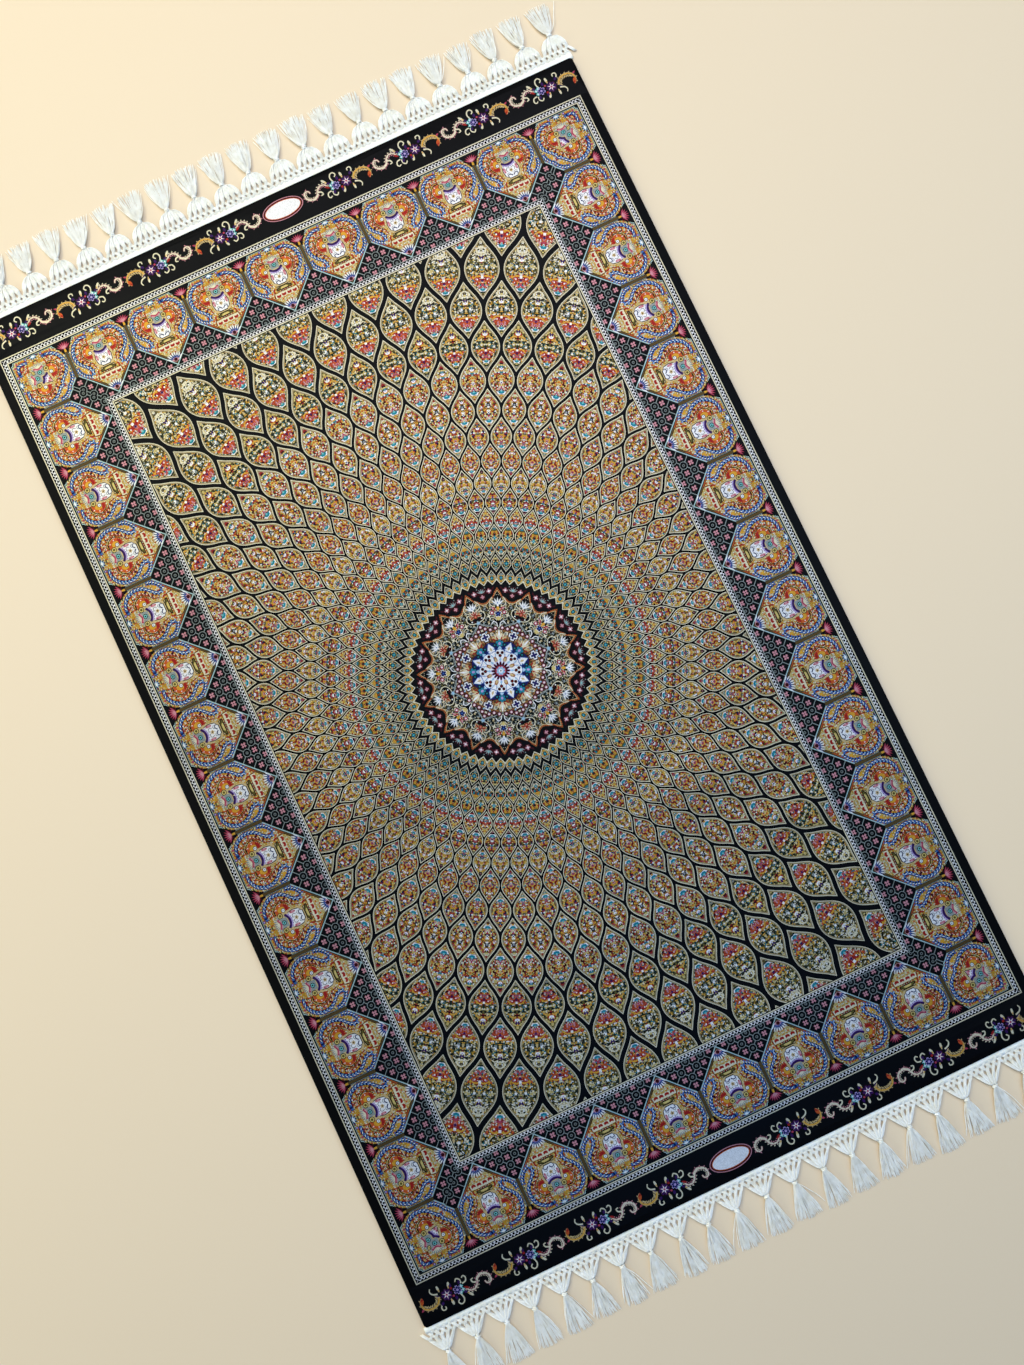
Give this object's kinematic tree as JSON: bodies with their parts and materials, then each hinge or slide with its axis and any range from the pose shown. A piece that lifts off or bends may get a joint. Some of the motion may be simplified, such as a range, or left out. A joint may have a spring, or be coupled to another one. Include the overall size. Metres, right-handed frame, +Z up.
{
  "type": "silk rug",
  "caption": "Small rectangular silk rug with a dome pattern of cells round a star medallion, lying flat, with a netted and tasselled fringe along each short end.",
  "frame": {"origin": "middle of the rug's underside, on the floor", "axes": "+X across the rug, +Y along the rug towards the fringe that is farther from the camera, +Z up out of the pile"},
  "size_m": [0.7714, 1.3883, 0.006],
  "materials": {
    "silk_pile": "short dense silk pile with a soft sheen, many colours on near-black",
    "fringe_yarn": "twisted ivory yarn, matt"
  },
  "bodies": {
    "root": {"pile": "silk_pile", "fringe_far": "fringe_yarn", "fringe_near": "fringe_yarn"}
  },
  "joints": []
}
